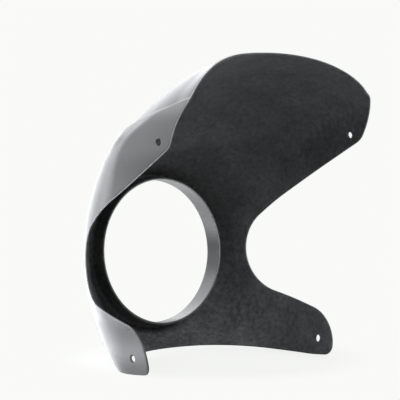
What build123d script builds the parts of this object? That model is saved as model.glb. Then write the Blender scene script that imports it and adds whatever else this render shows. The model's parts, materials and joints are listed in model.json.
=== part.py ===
from build123d import *
import math
import os

# One-piece moulded headlight cowl. Millimetres, +Z up, front towards -Y, rider behind at +Y, left at +X.
# The origin is on the lamp axis, at the rear rim of the headlight flange.

# Shell
wall = 3.0                      # laminate thickness
visor_step = 3.5                # how far the visor is set back from the body at the crease
crease_tilt = 12.5              # degrees by which the crease rises towards the rear
crease_rear_level = 185.5       # level of the crease at the rear end of the visor

# Headlight opening
lamp_bore = 184.0               # inside diameter of the headlight flange
flange_depth = 27.0             # from the flat front ring back to the flange rim
lip_radius = 2.0                # rounding where the front ring turns into the flange

# Level slices of the outside form: half width, nose, start of the straight sides, fullness of the curve
hem_level = -150.0
hem_half_width = 141.5
hem_nose = 84.0
hem_side = 105.0
hem_fullness = 2.9

jaw_level = -95.0
jaw_half_width = 149.0
jaw_nose = -28.0
jaw_side = 108.5
jaw_fullness = 2.2

belt_level = 0.0
belt_half_width = 143.5
belt_nose = -50.0
belt_side = 84.5
belt_fullness = 2.5

brow_level = 95.0
brow_half_width = 144.5
brow_nose = -28.0
brow_side = 104.0
brow_fullness = 2.0

temple_level = 150.0
temple_half_width = 151.5
temple_nose = 44.5
temple_side = 161.0
temple_fullness = 2.0

crown_level = 190.0
crown_half_width = 137.0
crown_nose = 94.5
crown_side = 240.0
crown_fullness = 2.2

apex_level = 248.5              # top of the crown, behind the trimmed edge
apex_back = 268.0
crown_core_level = 112.0        # level of the centre of the ellipse that closes the crown
closing_shares = (0.5, 0.8, 0.95)  # heights of the closing slices, from crown level to apex
tail = 280.0                    # plane behind everything, where the untrimmed form ends
slice_count = 22                # slices lofted from hem to apex
nose_spans = 12                 # spans of each slice's nose curve

# Trimmed outline seen from the side: corners as (back, up), each with its radius
visor_back = 254.8
visor_corner = (visor_back, 244.0)
visor_corner_radius = 60.0
visor_end = (visor_back, 180.0)
visor_end_radius = 10.0
wing_tip = (225.0, 128.5)
wing_tip_radius = 25.0
notch_shoulder = (62.0, 57.3)
notch_shoulder_radius = 120.0
notch_front = 10.3
notch_top = (notch_front, 23.2)
notch_bottom = (notch_front, -48.4)
notch_radius = 56.0
foot_back = 154.0
foot_heel = (foot_back, -92.4)
foot_heel_radius = 50.0
foot_tip = (foot_back, -142.3)
foot_tip_radius = 12.0
foot_sole = (95.0, -142.0)
foot_sole_radius = 300.0
chin = (25.3, -127.0)

# Mounting holes, placed from the outline's corners
hole_diameter = 9.5
upper_hole_inset = 19.4         # ahead of the wing tip
upper_hole_rise = 8.3           # above the wing tip
lower_hole_inset = 27.7         # ahead of the foot tip
lower_hole_rise = 20.2          # above the foot tip
drill_length = 40.0

margin = 100.0                  # how far cutting tools reach past the form
lamp_radius = lamp_bore / 2
reach = 2 * (tail + margin)     # size of tools that cut right across the form
nudge = 0.001                   # share of a rail or angle between which slopes are taken


def stations():
    """The driving slices as (level, half width, nose, side, fullness), hem to apex."""
    rows = [
        (hem_level, hem_half_width, hem_nose, hem_side, hem_fullness),
        (jaw_level, jaw_half_width, jaw_nose, jaw_side, jaw_fullness),
        (belt_level, belt_half_width, belt_nose, belt_side, belt_fullness),
        (brow_level, brow_half_width, brow_nose, brow_side, brow_fullness),
        (temple_level, temple_half_width, temple_nose, temple_side, temple_fullness),
        (crown_level, crown_half_width, crown_nose, crown_side, crown_fullness),
    ]
    for share in closing_shares:
        rows.append(closing_station(share))
    return rows


def closing_station(share):
    """A slice between crown level and apex: the crown slice shrunk as an ellipse closes."""
    level = crown_level + (apex_level - crown_level) * share
    size = ellipse_width(level) / ellipse_width(crown_level)
    side = crown_side + (apex_back - crown_side) * share
    nose = side - (crown_side - crown_nose) * size
    return level, crown_half_width * size, nose, side, crown_fullness


def ellipse_width(level):
    """Half width at a level of the closing ellipse, whose full half width is 1."""
    return math.sqrt(1 - ((level - crown_core_level) / (apex_level - crown_core_level)) ** 2)


def make_rails():
    """Smooth curves through the driving slices: one carries (half width, nose), one (side, fullness)."""
    rows = stations()
    run = [0.0]
    for low, high in zip(rows, rows[1:]):
        drift = (abs(high[1] - low[1]) + abs(high[2] - low[2])) / 2
        run.append(run[-1] + math.hypot(high[0] - low[0], drift))
    parameters = [distance / run[-1] for distance in run]
    outline = [Vector(half_width, nose, level) for level, half_width, nose, side, fullness in rows]
    flanks = [Vector(side, fullness, level) for level, half_width, nose, side, fullness in rows]
    return Edge.make_spline(outline, parameters=parameters), Edge.make_spline(flanks, parameters=parameters)


outline_rail, flank_rail = make_rails()


def surface_point(share, angle):
    """Point of the outside form: share runs from hem to apex, angle from the left side round the nose."""
    outline = Vector(outline_rail.geom_adaptor().Value(share))
    flank = Vector(flank_rail.geom_adaptor().Value(share))
    fullness = flank.Y
    across = math.cos(angle)
    ahead = math.sin(angle)
    size = (abs(across) ** fullness + abs(ahead) ** fullness) ** (-1 / fullness)
    return Vector(outline.X * size * across, flank.X - (flank.X - outline.Y) * size * ahead, outline.Z)


def inset_point(share, angle, depth):
    """The same point moved square to the surface, to the inside."""
    low = max(share - nudge, 0)
    high = min(share + nudge, 1)
    rise = surface_point(high, angle) - surface_point(low, angle)
    turn = surface_point(share, angle + nudge) - surface_point(share, angle - nudge)
    return surface_point(share, angle) + turn.cross(rise).normalized() * depth


def form_slice(number, depth):
    """One closed slice of the form at a depth below its surface."""
    share = number / slice_count
    points = [inset_point(share, math.pi * span / nose_spans, depth) for span in range(nose_spans + 1)]
    if number == 0:
        points = [Vector(point.X, point.Y, hem_level + depth) for point in points]
    if number == slice_count:
        top = surface_point(1, 0).Z - depth
        points = [Vector(point.X, point.Y, top) for point in points]
    parameters = [span / nose_spans for span in range(nose_spans + 1)]
    speed = math.pi * (points[0].Y - points[nose_spans // 2].Y)
    tangents = [(0, -speed, 0), (0, speed, 0)]
    nose = Edge.make_spline(points, tangents=tangents, parameters=parameters, scale=False)
    left_end = Vector(points[0].X, tail - depth, points[0].Z)
    right_end = Vector(points[-1].X, tail - depth, points[-1].Z)
    left = Edge.make_line(left_end, points[0])
    right = Edge.make_line(points[-1], right_end)
    return Wire([left, nose, right, Edge.make_line(right_end, left_end)])


def form(depth):
    """The full form, hem to apex, at a depth below the outside surface."""
    slices = [form_slice(number, depth) for number in range(slice_count + 1)]
    return Solid.make_loft(slices)


def half_space(plane):
    """A block that fills everything on the upper side of a plane."""
    return plane * Box(reach, reach, reach, align=(Align.CENTER, Align.CENTER, Align.MIN))


def stepped_form(depth):
    """The form with its visor set back above the crease, at a depth below the outside surface."""
    crease = Plane((0, visor_back, crease_rear_level)).rotated((crease_tilt, 0, 0)).offset(-depth)
    front_plane = Plane((0, depth - flange_depth, 0), x_dir=(1, 0, 0), z_dir=(0, -1, 0))
    return form(depth) - half_space(crease) + form(depth + visor_step) - half_space(front_plane)


def flange_tube():
    """The flange round the lamp opening, from the front ring back to its rim, before the opening is cut."""
    front = wall / 2 - flange_depth
    start = Plane((0, front, 0), x_dir=(1, 0, 0), z_dir=(0, 1, 0))
    return start * Cylinder(lamp_radius + wall, -front, align=(Align.CENTER, Align.CENTER, Align.MIN))


def lamp_opening():
    """What the lamp opening cuts away: a cylinder that flares round the lip to meet the front ring."""
    flare_radius = lamp_radius + lip_radius
    flare_start = lip_radius - flange_depth
    front = -flange_depth - margin
    wall_line = Polyline((0, front), (0, margin), (lamp_radius, margin), (lamp_radius, flare_start))
    flare = CenterArc((flare_radius, flare_start), lip_radius, start_angle=180, arc_size=90)
    front_line = Polyline((flare_radius, -flange_depth), (flare_radius, front), (0, front))
    return revolve(make_face([wall_line, flare, front_line]), Axis.Y)


def trim_prism():
    """What the side view's outline keeps, right across the cowl."""
    slope = (chin[1] - foot_sole[1]) / (chin[0] - foot_sole[0])
    front = -flange_depth - margin
    corners = [
        (front, visor_corner[1]),
        visor_corner,
        visor_end,
        wing_tip,
        notch_shoulder,
        notch_top,
        notch_bottom,
        foot_heel,
        foot_tip,
        foot_sole,
        (front, chin[1] + slope * (front - chin[0])),
    ]
    radii = [0, visor_corner_radius, visor_end_radius, wing_tip_radius, notch_shoulder_radius, notch_radius,
             notch_radius, foot_heel_radius, foot_tip_radius, foot_sole_radius, 0]
    outline = FilletPolyline(corners, radius=radii, close=True)
    return extrude(Plane.YZ * make_face(outline), amount=reach / 2, both=True)


def mounting_hole(outside, back, up, side):
    """A drill square to the outside of the wing at one place in side view."""
    sight = Axis((side * reach, back, up), (-side, 0, 0))
    point, normal = outside.find_intersection_points(sight)[0]
    return Plane(point, z_dir=normal) * Cylinder(hole_diameter / 2, drill_length)


outside = stepped_form(0)
cowl = (outside - stepped_form(wall)) & trim_prism()
cowl += flange_tube()
cowl -= lamp_opening()

hole_places = [
    (wing_tip[0] - upper_hole_inset, wing_tip[1] + upper_hole_rise),
    (foot_tip[0] - lower_hole_inset, foot_tip[1] + lower_hole_rise),
]
for back, up in hole_places:
    for side in (1, -1):
        cowl -= mounting_hole(outside, back, up, side)

cowl.label = "cowl_shell"
os.makedirs("parts", exist_ok=True)
export_step(cowl, "parts/cowl_shell.step")
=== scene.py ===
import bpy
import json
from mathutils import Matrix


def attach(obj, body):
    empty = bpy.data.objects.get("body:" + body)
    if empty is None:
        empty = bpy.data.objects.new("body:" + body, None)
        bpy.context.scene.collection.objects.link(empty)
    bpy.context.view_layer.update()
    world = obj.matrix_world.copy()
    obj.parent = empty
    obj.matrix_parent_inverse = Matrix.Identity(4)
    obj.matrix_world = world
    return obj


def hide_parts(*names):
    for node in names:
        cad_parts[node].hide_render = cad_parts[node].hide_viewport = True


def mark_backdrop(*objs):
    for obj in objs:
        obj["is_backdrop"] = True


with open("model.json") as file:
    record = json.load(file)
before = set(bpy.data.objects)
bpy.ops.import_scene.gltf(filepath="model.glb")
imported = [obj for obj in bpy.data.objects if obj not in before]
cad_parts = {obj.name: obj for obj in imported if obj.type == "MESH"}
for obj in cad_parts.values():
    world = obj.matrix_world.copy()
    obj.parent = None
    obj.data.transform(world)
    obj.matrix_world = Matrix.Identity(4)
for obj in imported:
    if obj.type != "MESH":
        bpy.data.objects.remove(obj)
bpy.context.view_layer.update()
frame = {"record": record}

import json
import math

import bmesh
import bpy
import numpy as np
from mathutils import Matrix, Vector, noise

# Sizes are in millimetres, in the frame of the part, and become metres when the mesh is made.
MM = 0.001

# Shell
WALL = 3.0                      # laminate thickness
VISOR_STEP = 3.5                # how far the visor is set back from the body at the crease
STEP_RUNOUT = 30.0              # the step runs out over this length before the rear edge
STEP_LEFT = 0.35                # share of the step that is left at the rear edge
CREASE_TILT = math.radians(12.5)
CREASE_REAR_LEVEL = 185.5       # level of the crease at the rear end of the visor
CREASE_ROUNDING = 1.6           # how far the crease's edges are softened outside, along the surface
BRIDGE = 12.0                   # how far from the step the laminate inside bridges it
EDGE_ROUNDING = 0.55            # radius of the sanded edges of trims and holes
MID_ROUND = 1 - math.sqrt(0.5)  # how far in a quarter round's middle lies, as a share of its radius
BARE_LINE = 1.2                 # width of the line where sanding bares the back of the gel coat

# Headlight flange, from the front ring back to the rim at the origin
FLANGE_DEPTH = 27.0
LIP_RADIUS = 2.0
ROOT_FILLET = 4.0               # soft inner corner of the laminate at the root of the flange
FRONT_SOFTNESS = 0.6            # how softly the laminate bends into the flat front ring
RING_BACK = 60.0                # the laminate is opened for the flange only ahead of this
RING_SPAN = (0.9, 1.4)          # shares of the lamp's radius between which the opening's loops lie
RING_SEGMENTS = 240
BORE_ROWS = 8
ROOT_ROWS = 4                   # rows along the flange's outside
ROUND_ROWS = 6                  # rows of the lip and of the root fillet

# Level slices of the outside: level, half width, nose, start of the straight sides, fullness
HEM = (-150.0, 141.5, 84.0, 105.0, 2.9)
JAW = (-95.0, 149.0, -28.0, 108.5, 2.2)
BELT = (0.0, 143.5, -50.0, 84.5, 2.5)
BROW = (95.0, 144.5, -28.0, 104.0, 2.0)
TEMPLE = (150.0, 151.5, 44.5, 161.0, 2.0)
CROWN = (190.0, 137.0, 94.5, 240.0, 2.2)
APEX_LEVEL = 248.5
APEX_BACK = 268.0
CROWN_CORE_LEVEL = 112.0        # level of the centre of the ellipse that closes the crown
CLOSING_SHARES = (0.5, 0.8, 0.95)

# Trimmed outline seen from the side: (back, up) and corner radius
FRONT = -127.0                  # ahead of the nose
VISOR_BACK = 254.8
VISOR_TOP = 244.0
NOTCH_FRONT = 10.3
NOTCH_RADIUS = 56.0
FOOT_BACK = 154.0
CHIN = (25.3, -127.0)
FOOT_SOLE = (95.0, -142.0)
SOLE_SLOPE = (CHIN[1] - FOOT_SOLE[1]) / (CHIN[0] - FOOT_SOLE[0])
OUTLINE = [
    ((FRONT, VISOR_TOP), 0),
    ((VISOR_BACK, VISOR_TOP), 60.0),
    ((VISOR_BACK, 180.0), 10.0),            # end of the visor
    ((225.0, 128.5), 25.0),                 # wing tip
    ((62.0, 57.3), 300.0),                  # notch shoulder
    ((NOTCH_FRONT, 23.2), NOTCH_RADIUS),
    ((NOTCH_FRONT, -48.4), NOTCH_RADIUS),
    ((FOOT_BACK, -92.4), 50.0),             # foot heel
    ((FOOT_BACK, -142.3), 12.0),            # foot tip
    (FOOT_SOLE, 300.0),
    ((FRONT, CHIN[1] + SOLE_SLOPE * (FRONT - CHIN[0])), 0),
]
ARC_STEP = math.radians(1.5)
HOLE_REACH = 4                  # a hole cuts this many radii along its axis

# Grid of the shell's two sheets
SHARES = 500                    # levels at which the form is worked out
NOSE_POINTS = 400               # points of each level's half nose
HALF_COLUMNS = 170              # columns from the nose to the tail
FLANK_BACK = 263.0              # where the columns end, behind the trimmed edge
LEAST_FLANK = 1.0               # and how far behind the start of the straight sides at least
BODY_ROWS = 145
VISOR_ROWS = 46
STEP_ROWS = 10
SHORT_OF_END = 1.001            # keeps a place on the grid just short of its last row and column
LEAST_STEEP = 1e-6              # stands in for how steep a field is where it is flat
SNAP = 0.35                     # how far, in cells, a point moves to lie on a trimmed edge
MATCH_FULL = 4.0                # this near the outline the inner sheet follows the outer one's grid
MATCH_BAND = 14.0               # and from here on not at all
MATCH_CELLS = 4                 # how far, in cells, it slides at most
SHARP_ANGLE = math.radians(19)  # edges sharper than this aren't smoothed

# Relief of the laminate inside: (size of the waves, height)
LAMINATE_WAVES = [(38.0, 0.15), (11.0, 0.09), (4.5, 0.07)]
RELIEF_MARGIN = 6.0             # the relief fades out this far from an edge

# Finishes, by face
GEL_COAT, LAMINATE, CUT_EDGE = range(3)
EDGE_PALES = (-0.07, 0.02)      # levels, in metres, between which the sanded edge turns from dark to pale
# Two lays of fibres in the laminate, each by the rotation and scale of its noise
FIBRE_LAYS = [((0.4, 0.9, 0.2), (1, 0.12, 1)), ((1.1, 0.1, 1.4), (0.12, 1, 1))]

# Studio, in metres
BACKGROUND = (0.947, 0.955, 0.940)
FLOOR_NORMAL = Vector((0, 0.085, 0.996)).normalized()  # the cowl rests tilted a little forward
FLOOR_SIZE = 12.0
FLOOR_CENTRE = Vector((-0.03, 0.08, 0))  # under the middle of the cowl
FLOOR_GLOW = 0.865              # share of the floor's white that the cowl can't shade
FLOOR_SHADE = 0.09              # how pale the rest of it is, near the cowl
FLOOR_BOUNCE = 0.36             # how pale it is to light that goes on to the cowl
FLOOR_PAINTED_REFLECTION = 0.85           # painted reflection: how pale it is near the cowl in reflections only, far paler than the camera sees it
FLOOR_FADE = (0.13, 0.21)       # distances from its centre over which the floor turns into backdrop
PAINTED_REFLECTION_FADE = (0.42, 0.62)      # and the distances over which that painted reflection fades out
AMBIENT = 0.20                  # strength of the white surroundings as a light
SOFTBOX_COLOUR = (0.94, 0.97, 1.0)

# Soft lamps: name, place, target, width and height, radiance
SOFTBOXES = [
    ("side_softbox", (0.244, -0.155, 0.20), (-0.356, 0.645, 0.20), (0.095, 0.40), 3.9),
    ("wing_softbox", (0.342, -0.081, 0.145), (-0.258, 0.719, 0.145), (0.15, 0.19), 2.0),
    ("low_softbox", (0.262, 0.000, -0.04), (0.205, 0.050, -0.13), (0.24, 0.08), 12.5),
    ("chin_softbox", (0.120, -0.160, -0.06), (0.148, 0.100, -0.09), (0.16, 0.08), 2.4),
    ("floor_softbox", (0.24, -0.26, 0.0), (0.24, -0.26, -1.0), (0.44, 0.26), 3.5),
    ("back_softbox", (-0.09, -1.00, 0.15), (0.12, 0.05, 0.05), (0.97, 0.40), 2.4),
    ("top_softbox", (0.10, -0.86, 0.82), (0.05, 0.10, 0.10), (1.84, 0.83), 2.5),
    ("fill_softbox", (-0.65, 1.20, 0.95), (0.0, 0.05, 0.0), (1.30, 1.30), 4.5),
]

# The photograph's camera
CAMERA_AZIMUTH = math.radians(142.42)
CAMERA_ELEVATION = math.radians(0.56)
CAMERA_ROLL = math.radians(-2.98)
CAMERA_PLACE = Vector((47.6, 65.6, 2972.0)) * MM  # seen from the origin, along the camera's own axes
CAMERA_LENS = 207.7             # focal length in millimetres
CAMERA_SENSOR = 36.0            # width of the sensor in millimetres
CAMERA_REACH = 50.0             # how far it sees, in metres


def unit(vectors):
    """The same directions with length 1. A zero vector stays zero."""
    length = np.linalg.norm(vectors, axis=-1, keepdims=True)
    return vectors / np.where(length > 0, length, 1)


def driving_slices():
    """All the level slices, hem to apex: the crown closes as an ellipse does."""
    def closing_width(level):
        """Half width of the closing ellipse at a level, as a share of its full one."""
        return math.sqrt(1 - ((level - CROWN_CORE_LEVEL) / (APEX_LEVEL - CROWN_CORE_LEVEL)) ** 2)

    crown_level, half_width, nose, side, fullness = CROWN
    rows = [HEM, JAW, BELT, BROW, TEMPLE, CROWN]
    for share in CLOSING_SHARES:
        level = crown_level + (APEX_LEVEL - crown_level) * share
        size = closing_width(level) / closing_width(crown_level)
        back = side + (APEX_BACK - side) * share
        rows.append((level, half_width * size, back - (side - nose) * size, back, fullness))
    return np.array(rows)


def smooth_curve(places, values, wanted):
    """Values at the wanted places of the smooth curve through the given ones."""
    steps = np.diff(places)[:, None]
    rises = np.diff(values, axis=0) / steps
    count = len(places)
    matrix = np.eye(count)
    target = np.zeros_like(values)
    # The slope at either end is that of the cubic through the last four points there
    target[0] = np.polyfit(places[:4] - places[0], values[:4], 3)[2]
    target[-1] = np.polyfit(places[-4:] - places[-1], values[-4:], 3)[2]
    for k in range(1, count - 1):
        before, after = steps[k - 1, 0], steps[k, 0]
        matrix[k, k - 1:k + 2] = after, 2 * (before + after), before
        target[k] = 3 * (after * rises[k - 1] + before * rises[k])
    slopes = np.linalg.solve(matrix, target)
    low = np.clip(np.searchsorted(places, wanted, side="right") - 1, 0, count - 2)
    span = steps[low]
    t = (wanted - places[low])[:, None] / span
    start = (1 + 2 * t) * (1 - t) ** 2 * values[low] + t * (1 - t) ** 2 * span * slopes[low]
    return start + t ** 2 * (3 - 2 * t) * values[low + 1] + t ** 2 * (t - 1) * span * slopes[low + 1]


def resample(points, places, wanted):
    """Points at the wanted places along a curve."""
    return np.stack([np.interp(wanted, places, points[:, axis]) for axis in range(3)], axis=1)


def run_length(points):
    """Length along a curve up to each of its points."""
    return np.concatenate([[0], np.cumsum(np.linalg.norm(np.diff(points, axis=0), axis=1))])


def outside_form():
    """Points of the form's outside: rows from hem to apex, columns from the right tail to the left one."""
    rows = driving_slices()
    drift = (abs(np.diff(rows[:, 1])) + abs(np.diff(rows[:, 2]))) / 2
    run = np.concatenate([[0], np.cumsum(np.hypot(np.diff(rows[:, 0]), drift))])
    levels = smooth_curve(run / run[-1], rows, np.linspace(0, 1, SHARES))
    angles = np.linspace(math.pi / 2, 0, NOSE_POINTS)
    across, ahead = np.maximum(np.cos(angles), 0), np.sin(angles)
    half = []
    for level, half_width, nose, side, fullness in levels:
        size = (across ** fullness + ahead ** fullness) ** (-1 / fullness)
        curve = np.stack([half_width * size * across, side - (side - nose) * size * ahead,
                          np.full_like(size, level)], axis=1)
        curve = np.vstack([curve, [half_width, max(FLANK_BACK, side + LEAST_FLANK), level]])
        places = run_length(curve)
        half.append(resample(curve, places, np.linspace(0, places[-1], HALF_COLUMNS)))
    half = np.array(half)
    mirrored = half[:, :0:-1] * (-1, 1, 1)
    return np.concatenate([mirrored, half], axis=1)


def inward_normals(surface):
    """Directions square to the form, to its inside."""
    rise = np.gradient(surface, axis=0)
    turn = np.gradient(surface, axis=1)
    return unit(np.cross(rise, turn))


def crossing(heights):
    """The place, counted in points, where a rising row of heights passes zero."""
    above = np.nonzero(heights > 0)[0][0]
    return above - heights[above] / (heights[above] - heights[above - 1])


def soft_step(start, edge, foot, end, shares):
    """Points of a smooth curve past a step's edge and foot, at shares of the way from start to end."""
    t = shares[:, None]
    lower = (1 - t) ** 3 * start + 3 * t * (1 - t) ** 2 * edge
    return lower + 3 * t ** 2 * (1 - t) * foot + t ** 3 * end


def bridged(column, edge, foot):
    """A column whose step lies under a long gentle curve, as wet cloth bridges it."""
    run = run_length(column)
    middle = (run[BODY_ROWS] + run[BODY_ROWS + STEP_ROWS]) / 2
    start, end = resample(column, run, [middle - BRIDGE, middle + BRIDGE])
    near = abs(run - middle) < BRIDGE
    column[near] = soft_step(start, edge, foot, end, (run[near] - middle + BRIDGE) / (2 * BRIDGE))
    return column


def sheet_column(body, visor, body_lift, visor_lift):
    """One column of a sheet, from the body over a soft step to the visor, and the step's edge and foot."""
    count = np.arange(len(body))
    lower = np.vstack([body[body_lift <= 0], resample(body, count, [crossing(body_lift)])])
    upper = np.vstack([resample(visor, count, [crossing(visor_lift)]), visor[visor_lift > 0]])
    lower_run, upper_run = run_length(lower), run_length(upper)
    lower_rows = resample(lower, lower_run, np.linspace(0, lower_run[-1] - CREASE_ROUNDING, BODY_ROWS))
    upper_rows = resample(upper, upper_run, np.linspace(CREASE_ROUNDING, upper_run[-1], VISOR_ROWS))
    edge, foot = lower[-1], upper[0]
    shares = np.linspace(0, 1, STEP_ROWS + 2)[1:-1]
    step = soft_step(lower_rows[-1], edge, foot, upper_rows[0], shares)
    return np.vstack([lower_rows, step, upper_rows]), edge, foot


def stepped_sheet(surface, inward, depth):
    """Grid of the shell's surface at a depth, with the visor set back above the crease."""
    def lift(points):
        """How far points lie above the crease."""
        above = (points[..., 2] - CREASE_REAR_LEVEL) * math.cos(CREASE_TILT)
        return above - (points[..., 1] - VISOR_BACK) * math.sin(CREASE_TILT) + depth

    body = surface + inward * depth
    runout = np.clip((surface[..., 1:2] - VISOR_BACK) / STEP_RUNOUT + 1, 0, 1)
    runout = runout ** 2 * (3 - 2 * runout)
    visor = surface + inward * (depth + VISOR_STEP * (1 - (1 - STEP_LEFT) * runout))
    body_lift, visor_lift = lift(body), lift(visor)
    columns = []
    for k in range(surface.shape[1]):
        column, edge, foot = sheet_column(body[:, k], visor[:, k], body_lift[:, k], visor_lift[:, k])
        columns.append(bridged(column, edge, foot) if depth else column)
    return np.stack(columns, axis=1)


def rounded_outline():
    """The trimmed outline as points, its corners rounded by arcs."""
    corners = np.array([corner for corner, radius in OUTLINE])
    points = []
    for k, (corner, radius) in enumerate(OUTLINE):
        if radius == 0:
            points.append(corner)
            continue
        to_last = unit(corners[k - 1] - corners[k])
        to_next = unit(corners[(k + 1) % len(corners)] - corners[k])
        half_angle = math.acos(to_last @ to_next) / 2
        centre = corners[k] + unit(to_last + to_next) * radius / math.sin(half_angle)
        first = corners[k] + to_last * radius / math.tan(half_angle) - centre
        last = corners[k] + to_next * radius / math.tan(half_angle) - centre
        sweep = math.atan2(first[0] * last[1] - first[1] * last[0], first @ last)
        back, up = first
        for turn in np.linspace(0, sweep, math.ceil(abs(sweep) / ARC_STEP) + 1):
            cosine, sine = math.cos(turn), math.sin(turn)
            points.append(centre + (cosine * back - sine * up, sine * back + cosine * up))
    return np.array(points)


def outline_field(grid, outline):
    """How far each point lies inside the outline in side view, negative outside."""
    points = grid[..., 1:].reshape(-1, 2)
    nearest = np.full(len(points), np.inf)
    inside = np.zeros(len(points), bool)
    for start, end in zip(outline, np.roll(outline, -1, axis=0)):
        along, offset = end - start, points - start
        share = np.clip(offset @ along / (along @ along), 0, 1)
        nearest = np.minimum(nearest, ((offset - share[:, None] * along) ** 2).sum(axis=1))
        if start[1] != end[1]:
            spans = (start[1] > points[:, 1]) != (end[1] > points[:, 1])
            inside ^= spans & (offset[:, 0] < along[0] * offset[:, 1] / along[1])
    return np.where(inside, np.sqrt(nearest), -np.sqrt(nearest)).reshape(grid.shape[:2])


def hole_field(grid, hole):
    """How far each point lies outside a mounting hole."""
    offset = grid - np.array(hole["pos_m"]) / MM
    along = offset @ np.array(hole["axis"])
    radius = hole["dims"]["r_mm"]
    aside = np.sqrt(np.maximum((offset ** 2).sum(axis=-1) - along ** 2, 0)) - radius
    return np.where(abs(along) < HOLE_REACH * radius, aside, np.inf)


def sample(grid, row, column):
    """Points of a grid between its rows and columns."""
    row = np.clip(row, 0, grid.shape[0] - SHORT_OF_END)
    column = np.clip(column, 0, grid.shape[1] - SHORT_OF_END)
    low, left = row.astype(int), column.astype(int)
    up, across = (row - low)[..., None], (column - left)[..., None]
    below = grid[low, left] * (1 - across) + grid[low, left + 1] * across
    above = grid[low + 1, left] * (1 - across) + grid[low + 1, left + 1] * across
    return below * (1 - up) + above * up


def steps_to_level(field, change):
    """Moves, in rows and columns, that change a field by the given amounts."""
    along_rows, along_columns = np.gradient(field)
    steep = np.maximum(along_rows ** 2 + along_columns ** 2, LEAST_STEEP)
    return change * along_rows / steep, change * along_columns / steep


def match_edges(inner, inner_field, outer_field):
    """The inner sheet slid in its surface, to meet the outline at the outer one's rows and columns."""
    weight = np.clip((MATCH_BAND - abs(outer_field)) / (MATCH_BAND - MATCH_FULL), 0, 1)
    up, across = steps_to_level(inner_field, weight * (outer_field - inner_field))
    rows, columns = np.indices(outer_field.shape)
    up, across = np.clip([up, across], -MATCH_CELLS, MATCH_CELLS)
    return sample(inner, rows + up, columns + across)


def snapped(grid, field):
    """Grid and field with the points near a trimmed edge moved onto it."""
    up, across = steps_to_level(field, -field)
    near = np.maximum(abs(up), abs(across)) < SNAP
    rows, columns = np.indices(field.shape)
    moved = sample(grid, rows + up, columns + across)
    return np.where(near[..., None], moved, grid), np.where(near, 0, field)


class Skin:
    """The mesh as it is gathered: points, and faces with their finish."""

    def __init__(self):
        self.points = []
        self.faces = []
        self.finishes = []

    def add_points(self, points):
        """Adds points and returns their numbers."""
        first = len(self.points)
        self.points.extend(points)
        return list(range(first, len(self.points)))

    def add_face(self, corners, finish):
        """Adds a face by the numbers of its corners."""
        self.faces.append(corners)
        self.finishes.append(finish)

    def add_strip(self, first, second, finish):
        """Faces between two closed rows of equally many points."""
        for k in range(len(first)):
            self.add_face((first[k - 1], first[k], second[k], second[k - 1]), finish)

    def add_zip(self, first, first_angles, second, second_angles, finish):
        """Faces between two closed rings of points that are sorted by their angles."""
        first_angles = np.append(first_angles, first_angles[0] + math.tau)
        second_angles = np.append(second_angles, second_angles[0] + math.tau)
        i = j = 0
        while i < len(first) or j < len(second):
            here, there = first[i % len(first)], second[j % len(second)]
            if j == len(second) or (i < len(first) and first_angles[i + 1] < second_angles[j + 1]):
                i += 1
                self.add_face((here, first[i % len(first)], there), finish)
            else:
                j += 1
                self.add_face((here, second[j % len(second)], there), finish)


def cut_cell(corners, field, cut):
    """What is left of one cell of the grid: its kept corners and the points where its sides are cut."""
    kept = []
    for k, corner in enumerate(corners):
        last = corners[k - 1]
        if field[last] * field[corner] < 0:
            kept.append(cut(last, corner))
        if field[corner] >= 0:
            kept.append(corner)
    return kept


def trimmed_sheet(skin, grid, field, finish):
    """Adds the part of a grid where the field isn't negative.

    Returns its open edges as loops of keys, and the number that each key's point has in the skin.
    """
    grid, field = snapped(grid, field)
    rows, columns = field.shape
    points, values = grid.reshape(-1, 3), field.ravel()
    numbers = np.arange(rows * columns).reshape(rows, columns)
    corners = [numbers[:-1, :-1], numbers[:-1, 1:], numbers[1:, 1:], numbers[1:, :-1]]
    cells = np.stack(corners, axis=-1).reshape(-1, 4)
    signs = values[cells]
    place = {}

    def cut(a, b):
        """The key of the point where the side from one corner to another is cut."""
        key = (min(a, b), max(a, b))
        if key not in place:
            t = values[key[0]] / (values[key[0]] - values[key[1]])
            place[key] = skin.add_points([points[key[0]] * (1 - t) + points[key[1]] * t])[0]
        return key

    reaches_in = (signs > 0).any(axis=1)
    faces = [tuple(cell) for cell in cells[reaches_in & (signs >= 0).all(axis=1)].tolist()]
    for cell in cells[reaches_in & (signs < 0).any(axis=1)].tolist():
        faces.append(tuple(cut_cell(cell, values, cut)))
    for key in sorted({corner for face in faces for corner in face if not isinstance(corner, tuple)}):
        place[key] = skin.add_points([points[key]])[0]
    for face in faces:
        skin.add_face([place[corner] for corner in face], finish)
    return open_loops(faces), place


def open_loops(faces):
    """The open edges of the faces, as closed loops."""
    edges = {(face[k - 1], face[k]) for face in faces for k in range(len(face))}
    follows = {a: b for a, b in edges if (b, a) not in edges}
    loops = []
    while follows:
        start, corner = follows.popitem()
        loop = [start]
        while corner != start:
            loop.append(corner)
            corner = follows.pop(corner)
        loops.append(loop)
    return loops


def add_rim(skin, outer, inner, bare):
    """The sanded edge between the two sheets, round one trimmed loop, bare next to the gel coat."""
    outside = np.array([skin.points[k] for k in outer])
    across = np.array([skin.points[k] for k in inner]) - outside
    along = np.roll(outside, -1, axis=0) - np.roll(outside, 1, axis=0)
    out = unit(np.cross(across, along)) * EDGE_ROUNDING
    corner = EDGE_ROUNDING / WALL
    # Rows of the edge: share of the way across the wall, and share of the rounding that they stand out
    profile = [(corner * MID_ROUND, 1 - MID_ROUND), (corner, 1), (BARE_LINE / WALL, 1), (1 - corner, 1),
               (1 - corner * MID_ROUND, 1 - MID_ROUND)]
    rows = [outer]
    for way, height in profile:
        rows.append(skin.add_points(outside + across * way + out * height))
    rows.append(inner)
    finishes = [bare, bare, bare, LAMINATE, LAMINATE, LAMINATE]
    for first, second, finish in zip(rows, rows[1:], finishes):
        skin.add_strip(first, second, finish)


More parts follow.
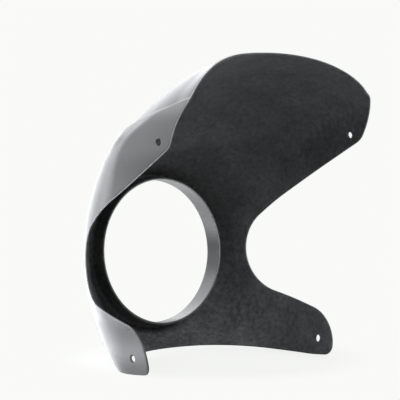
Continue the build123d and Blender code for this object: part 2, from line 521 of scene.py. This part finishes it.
def by_angle(skin, ring):
    """A ring of points round the lamp axis, sorted by angle, with the angles."""
    angles = np.array([math.atan2(skin.points[k][2], skin.points[k][0]) for k in ring])
    order = np.argsort(angles)
    return [ring[k] for k in order], angles[order]


def add_flange(skin, outer_ring, inner_ring, radius):
    """The front ring, lip and flange of the lamp opening, between the rings where the two sheets end."""
    angles = np.linspace(-math.pi, math.pi, RING_SEGMENTS, endpoint=False)

    def circle(distance, back):
        """A row of points round the lamp axis, at a distance from it."""
        back = np.broadcast_to(back, angles.shape)
        points = np.stack([distance * np.cos(angles), back, distance * np.sin(angles)], axis=1)
        return skin.add_points(points)

    def strips(profile, finish):
        """Faces along a profile round the lamp axis. Returns its first and last row of points."""
        rows = [circle(distance, back) for distance, back in profile]
        for first, second in zip(rows, rows[1:]):
            skin.add_strip(first, second, finish)
        return rows[0], rows[-1]

    lip = []
    for turn in np.linspace(0, math.pi / 2, ROUND_ROWS + 1):
        distance = radius + LIP_RADIUS * (1 - math.sin(turn))
        lip.append((distance, -FLANGE_DEPTH + LIP_RADIUS * (1 - math.cos(turn))))
    tube = radius + WALL
    rounding = EDGE_ROUNDING
    soft = rounding * MID_ROUND
    bore = [(radius, back) for back in np.linspace(lip[-1][1], -rounding, BORE_ROWS + 1)[1:]]
    rim = [(radius + soft, -soft), (radius + rounding, 0), (radius + BARE_LINE, 0)]
    outside = [(tube - rounding, 0), (tube - soft, -soft), (tube, -rounding), (tube, -WALL)]
    front_row, bore_end = strips(lip + bore, GEL_COAT)
    rim_start, rim_end = strips(rim, CUT_EDGE)
    outside_start, outside_end = strips(outside, LAMINATE)
    skin.add_strip(bore_end, rim_start, GEL_COAT)
    skin.add_strip(rim_end, outside_start, LAMINATE)
    ring, ring_angles = by_angle(skin, outer_ring)
    skin.add_zip(ring, ring_angles, front_row, angles, GEL_COAT)

    ring, ring_angles = by_angle(skin, inner_ring)
    root = np.interp(angles, ring_angles, [skin.points[k][1] for k in ring], period=math.tau)
    rows = [outside_end]
    for share in np.linspace(0, 1, ROOT_ROWS + 1)[1:]:
        rows.append(circle(tube, -WALL + (root + ROOT_FILLET + WALL) * share))
    for t in np.linspace(0, 1, ROUND_ROWS + 1)[1:-1]:
        rows.append(circle(tube + ROOT_FILLET * t ** 2, root + ROOT_FILLET * (1 - t) ** 2))
    for first, second in zip(rows, rows[1:]):
        skin.add_strip(first, second, LAMINATE)
    skin.add_zip(ring, ring_angles, rows[-1], angles, LAMINATE)


def laminate_relief(grid, inward, field):
    """The inner sheet with the low waves of hand-laid cloth, none of them at its edges."""
    fade = np.clip(field / RELIEF_MARGIN, 0, 1)
    relief = np.zeros(field.shape)
    for row, column in np.argwhere(fade > 0):
        place = Vector(grid[row, column])
        for size, height in LAMINATE_WAVES:
            relief[row, column] += height * noise.noise(place / size)
    return grid + inward * (relief * fade)[..., None]


def soft_floor(values, floor, softness):
    """Values kept above a floor, with a soft bend where they reach it."""
    return floor + softness * np.logaddexp(0, (values - floor) / softness)


def cowl_skin():
    """The whole shell as one closed skin."""
    mounts = frame["record"]["mounts"]
    lamp = next(mount for mount in mounts if mount["name"] == "headlight_bore")
    radius = lamp["dims"]["r_mm"]
    holes = [mount for mount in mounts if mount is not lamp]
    surface = outside_form()
    inward = inward_normals(surface)
    outer = stepped_sheet(surface, inward, 0)
    inner = stepped_sheet(surface, inward, WALL)
    outline = rounded_outline()
    field = outline_field(outer, outline)
    inner = match_edges(inner, outline_field(inner, outline), field)
    for hole in holes:
        field = np.minimum(field, hole_field(outer, hole))
    field = field - EDGE_ROUNDING

    inner[..., 1] = soft_floor(inner[..., 1], WALL - FLANGE_DEPTH, FRONT_SOFTNESS)
    ring_field = np.hypot(inner[..., 0], inner[..., 2]) - (radius + WALL + ROOT_FILLET)
    ring_field = np.where(inner[..., 1] < RING_BACK, ring_field, np.inf)
    inner_field = np.minimum(field, ring_field)
    inner = laminate_relief(inner, -inward_normals(inner), inner_field)
    front_field = outer[..., 1] + FLANGE_DEPTH

    skin = Skin()
    outer_loops, outer_place = trimmed_sheet(skin, outer, np.minimum(field, front_field), GEL_COAT)
    inner_loops, inner_place = trimmed_sheet(skin, inner, inner_field, LAMINATE)
    inner_ring = next(loop for loop in inner_loops if is_ring(skin, inner_place, loop, radius))
    trim = max(outer_loops, key=len)
    for loop in outer_loops:
        if is_ring(skin, outer_place, loop, radius):
            outer_ring = [outer_place[key] for key in loop]
        else:
            bare = CUT_EDGE if loop is trim else GEL_COAT
            add_rim(skin, [outer_place[key] for key in loop], [inner_place[key] for key in loop], bare)
    add_flange(skin, outer_ring, [inner_place[key] for key in inner_ring], radius)
    return skin


def is_ring(skin, place, loop, radius):
    """Whether a loop is the one round the lamp opening."""
    points = [skin.points[place[key]] for key in loop]
    distances = [math.hypot(point[0], point[2]) for point in points]
    least, most = (share * radius for share in RING_SPAN)
    return min(distances) > least and max(distances) < most


def make_cowl(materials):
    """The cowl's mesh, in place, with its finishes."""
    skin = cowl_skin()
    mesh = bpy.data.meshes.new("cowl")
    mesh.from_pydata([tuple(np.asarray(point) * MM) for point in skin.points], [], skin.faces)
    for material in materials:
        mesh.materials.append(material)
    mesh.polygons.foreach_set("material_index", skin.finishes)
    mesh.polygons.foreach_set("use_smooth", [True] * len(mesh.polygons))
    tidy = bmesh.new()
    tidy.from_mesh(mesh)
    bmesh.ops.recalc_face_normals(tidy, faces=tidy.faces)
    tidy.to_mesh(mesh)
    tidy.free()
    mesh.set_sharp_from_angle(angle=SHARP_ANGLE)
    cowl = bpy.data.objects.new("cowl", mesh)
    bpy.context.scene.collection.objects.link(cowl)
    return cowl


class Shader:
    """A material's node tree, with short ways to add nodes."""

    def __init__(self, name):
        self.material = bpy.data.materials.new(name)
        self.material.use_nodes = True
        self.nodes = self.material.node_tree.nodes
        self.links = self.material.node_tree.links
        self.surface = self.nodes["Principled BSDF"]
        self.place = self.nodes.new("ShaderNodeTexCoord").outputs["Object"]

    def noise(self, scale, detail, roughness=0.5, stretch=None):
        """Noise over the object. A stretch is a rotation and a scale."""
        node = self.nodes.new("ShaderNodeTexNoise")
        node.inputs["Scale"].default_value = scale
        node.inputs["Detail"].default_value = detail
        node.inputs["Roughness"].default_value = roughness
        place = self.place
        if stretch:
            mapping = self.nodes.new("ShaderNodeMapping")
            mapping.inputs["Rotation"].default_value = stretch[0]
            mapping.inputs["Scale"].default_value = stretch[1]
            self.links.new(place, mapping.inputs["Vector"])
            place = mapping.outputs["Vector"]
        self.links.new(place, node.inputs["Vector"])
        return node.outputs["Fac"]

    def ramp(self, value, stops):
        """Colours at positions of a value."""
        node = self.nodes.new("ShaderNodeValToRGB")
        elements = node.color_ramp.elements
        while len(elements) < len(stops):
            elements.new(1)
        for element, (position, colour) in zip(elements, stops):
            element.position = position
            element.color = (*colour, 1)
        self.links.new(value, node.inputs["Fac"])
        return node.outputs["Color"]

    def between(self, value, low, high, start=0.3, end=0.7):
        """From low to high as a value goes from start to end."""
        node = self.nodes.new("ShaderNodeMapRange")
        for socket, number in zip(("From Min", "From Max", "To Min", "To Max"), (start, end, low, high)):
            node.inputs[socket].default_value = number
        self.links.new(value, node.inputs["Value"])
        return node.outputs["Result"]

    def height(self):
        """The level of each place on the object."""
        node = self.nodes.new("ShaderNodeSeparateXYZ")
        self.links.new(self.place, node.inputs["Vector"])
        return node.outputs["Z"]

    def mix(self, factor, low, high):
        """The low colour where the factor is 0, the high one where it is 1."""
        node = self.nodes.new("ShaderNodeMixRGB")
        for socket, value in zip(("Fac", "Color1", "Color2"), (factor, low, high)):
            self.links.new(value, node.inputs[socket])
        return node.outputs["Color"]

    def bump(self, height, strength, distance, under=None):
        """Normals of a relief, on top of the ones under it."""
        node = self.nodes.new("ShaderNodeBump")
        node.inputs["Strength"].default_value = strength
        node.inputs["Distance"].default_value = distance
        self.links.new(height, node.inputs["Height"])
        if under:
            self.links.new(under, node.inputs["Normal"])
        return node.outputs["Normal"]

    def set(self, socket, value):
        """Gives a socket of the surface a number or what another node gives."""
        if isinstance(value, bpy.types.NodeSocket):
            self.links.new(value, self.surface.inputs[socket])
        else:
            self.surface.inputs[socket].default_value = value


def gel_coat():
    """Gloss black gel coat: a faint orange peel, and a gloss that varies a little over the surface."""
    shader = Shader("gel_coat")
    blacks = [(0.3, (0.010, 0.011, 0.012)), (0.7, (0.016, 0.017, 0.019))]
    cloud = shader.noise(scale=14, detail=4)
    shader.set("Base Color", shader.ramp(cloud, blacks))
    gloss = shader.noise(scale=45, detail=5, roughness=0.6)
    shader.set("Roughness", shader.between(gloss, low=0.27, high=0.34))
    shader.set("IOR", 1.55)
    peel = shader.noise(scale=260, detail=2)
    shader.set("Normal", shader.bump(peel, strength=0.06, distance=0.0003))
    return shader.material


def laminate():
    """Matt black inside of the laminate: mottled and cloudy resin over random fibres."""
    shader = Shader("laminate")
    mottle = shader.noise(scale=170, detail=7, roughness=0.66)
    drifts = shader.noise(scale=30, detail=4, roughness=0.6)
    clouds = shader.between(drifts, low=0.0, high=1.0, start=0.35, end=0.65)
    dark = shader.ramp(mottle, [(0.3, (0.019, 0.019, 0.020)), (0.72, (0.092, 0.092, 0.095))])
    pale = shader.ramp(mottle, [(0.3, (0.037, 0.037, 0.038)), (0.72, (0.132, 0.132, 0.135))])
    shader.set("Base Color", shader.mix(clouds, dark, pale))
    shader.set("Roughness", shader.between(mottle, low=0.62, high=0.85))
    shader.set("Specular IOR Level", 0.2)
    lumps = shader.noise(scale=220, detail=5, roughness=0.6)
    relief = shader.bump(lumps, strength=0.5, distance=0.0006)
    for lay in FIBRE_LAYS:
        fibres = shader.noise(scale=900, detail=3, roughness=0.6, stretch=lay)
        relief = shader.bump(fibres, strength=0.25, distance=0.0003, under=relief)
    shader.set("Normal", relief)
    return shader.material


def cut_edge():
    """Sanded edge behind the gel coat: pale bare glass with fibre ends higher up, darker towards the feet.
    """
    shader = Shader("cut_edge")
    grain = shader.noise(scale=1400, detail=4, roughness=0.7)
    pale = shader.ramp(grain, [(0.35, (0.40, 0.43, 0.42)), (0.7, (0.68, 0.71, 0.70))])
    dark = shader.ramp(grain, [(0.35, (0.05, 0.05, 0.05)), (0.7, (0.11, 0.11, 0.11))])
    paleness = shader.between(shader.height(), 0.0, 1.0, *EDGE_PALES)
    shader.set("Base Color", shader.mix(paleness, dark, pale))
    shader.set("Roughness", shader.between(grain, low=0.35, high=0.6))
    shader.set("Normal", shader.bump(grain, strength=0.3, distance=0.0002))
    return shader.material


class Stage:
    """Nodes of a floor or world, with short ways to add numbers."""

    def __init__(self, tree):
        self.nodes = tree.nodes
        self.links = tree.links
        self.path = self.nodes.new("ShaderNodeLightPath").outputs

    def math(self, operation, *values):
        """What an operation makes of numbers, given or from other nodes."""
        node = self.nodes.new("ShaderNodeMath")
        node.operation = operation
        for socket, value in zip(node.inputs, values):
            if isinstance(value, bpy.types.NodeSocket):
                self.links.new(value, socket)
            else:
                socket.default_value = value
        return node.outputs[0]

    def blend(self, factor, low, high):
        """Low where the factor is 0, high where it is 1."""
        return self.math("MULTIPLY_ADD", factor, self.math("SUBTRACT", high, low), low)

    def shown(self):
        """1 on rays that show the surface, straight or mirrored, and 0 on those that only carry light."""
        mirrored = self.math("MAXIMUM", self.path["Is Glossy Ray"], self.path["Is Transmission Ray"])
        return self.math("MAXIMUM", self.path["Is Camera Ray"], mirrored)


def make_floor(cowl):
    """A plain pale floor under the cowl, which rests tilted forward. Further out it is backdrop. Near the
    cowl it is paler in reflections than the camera sees it, a painted reflection.
    """
    lowest = min(vertex.co.dot(FLOOR_NORMAL) for vertex in cowl.data.vertices)
    mesh = bpy.data.meshes.new("floor")
    half = FLOOR_SIZE / 2
    corners = [(-half, -half, 0), (half, -half, 0), (half, half, 0), (-half, half, 0)]
    mesh.from_pydata(corners, [], [(0, 1, 2, 3)])
    floor = bpy.data.objects.new("floor", mesh)
    turn = FLOOR_NORMAL.to_track_quat("Z", "Y").to_matrix().to_4x4()
    centre = FLOOR_CENTRE + FLOOR_NORMAL * (lowest - FLOOR_CENTRE.dot(FLOOR_NORMAL))
    floor.matrix_world = Matrix.Translation(centre) @ turn
    bpy.context.scene.collection.objects.link(floor)
    material = bpy.data.materials.new("floor")
    material.use_nodes = True
    stage = Stage(material.node_tree)
    surface = stage.nodes["Principled BSDF"]
    surface.inputs["Roughness"].default_value = 1
    surface.inputs["Specular IOR Level"].default_value = 0
    surface.inputs["Emission Color"].default_value = (*BACKGROUND, 1)
    distance = stage.nodes.new("ShaderNodeVectorMath")
    distance.operation = "LENGTH"
    stage.links.new(stage.nodes.new("ShaderNodeTexCoord").outputs["Object"], distance.inputs[0])

    def fade(span):
        """From 0 to 1 over a span of distances from the floor's middle."""
        node = stage.nodes.new("ShaderNodeMapRange")
        node.interpolation_type = "SMOOTHSTEP"
        node.inputs["From Min"].default_value, node.inputs["From Max"].default_value = span
        stage.links.new(distance.outputs["Value"], node.inputs["Value"])
        return node.outputs["Result"]

    far = fade(FLOOR_FADE)
    plain = stage.blend(stage.path["Is Camera Ray"], 1.0, stage.blend(far, FLOOR_GLOW, 1.0))
    glow = stage.math("MULTIPLY", stage.shown(), plain)
    # Painted reflection: near the cowl the floor is paler in reflections than the camera sees it, which
    # lightens the cowl's gloss
    mirrored = stage.blend(fade(PAINTED_REFLECTION_FADE), FLOOR_PAINTED_REFLECTION, 0.0)
    unseen = stage.blend(stage.path["Is Glossy Ray"], FLOOR_BOUNCE, mirrored)
    paleness = stage.blend(stage.path["Is Camera Ray"], unseen, stage.blend(far, FLOOR_SHADE, 0.0))
    stage.links.new(glow, surface.inputs["Emission Strength"])
    stage.links.new(paleness, surface.inputs["Base Color"])
    mesh.materials.append(material)
    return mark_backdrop(floor)


def make_world():
    """White surroundings: the backdrop's white where seen or mirrored, softer where they only light."""
    world = bpy.data.worlds.new("studio")
    bpy.context.scene.world = world
    world.use_nodes = True
    stage = Stage(world.node_tree)
    backdrop = stage.nodes["Background"]
    backdrop.inputs["Color"].default_value = (*BACKGROUND, 1)
    stage.links.new(stage.blend(stage.shown(), AMBIENT, 1.0), backdrop.inputs["Strength"])


def make_softbox(name, place, target, size, radiance):
    """A soft rectangular lamp of an even brightness, out of the picture."""
    lamp = bpy.data.lights.new(name, "AREA")
    lamp.shape = "RECTANGLE"
    lamp.size, lamp.size_y = size
    lamp.energy = radiance * math.pi * size[0] * size[1]
    lamp.color = SOFTBOX_COLOUR
    light = bpy.data.objects.new(name, lamp)
    light.location = place
    light.rotation_euler = (Vector(target) - Vector(place)).to_track_quat("-Z", "Y").to_euler()
    light.visible_camera = False
    bpy.context.scene.collection.objects.link(light)


def make_camera():
    """The photograph's view: its turn, height and roll, distance and focal length."""
    across, ahead = math.sin(CAMERA_AZIMUTH), math.cos(CAMERA_AZIMUTH)
    level = math.cos(CAMERA_ELEVATION)
    back = Vector((across * level, -ahead * level, math.sin(CAMERA_ELEVATION)))
    right = Vector((ahead, across, 0))
    up = back.cross(right)
    turned_right = math.cos(CAMERA_ROLL) * right + math.sin(CAMERA_ROLL) * up
    turned_up = math.cos(CAMERA_ROLL) * up - math.sin(CAMERA_ROLL) * right
    data = bpy.data.cameras.new("camera")
    data.sensor_width = CAMERA_SENSOR
    data.lens = CAMERA_LENS
    data.clip_end = CAMERA_REACH
    camera = bpy.data.objects.new("camera", data)
    turn = Matrix((turned_right, turned_up, back)).transposed()
    camera.matrix_world = Matrix.Translation(turn @ CAMERA_PLACE) @ turn.to_4x4()
    bpy.context.scene.collection.objects.link(camera)
    bpy.context.scene.camera = camera


cowl = make_cowl([gel_coat(), laminate(), cut_edge()])
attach(cowl, "root")
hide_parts("cowl_shell")

make_floor(cowl)
make_world()
for softbox in SOFTBOXES:
    make_softbox(*softbox)
make_camera()
bpy.context.scene.view_settings.view_transform = "Standard"
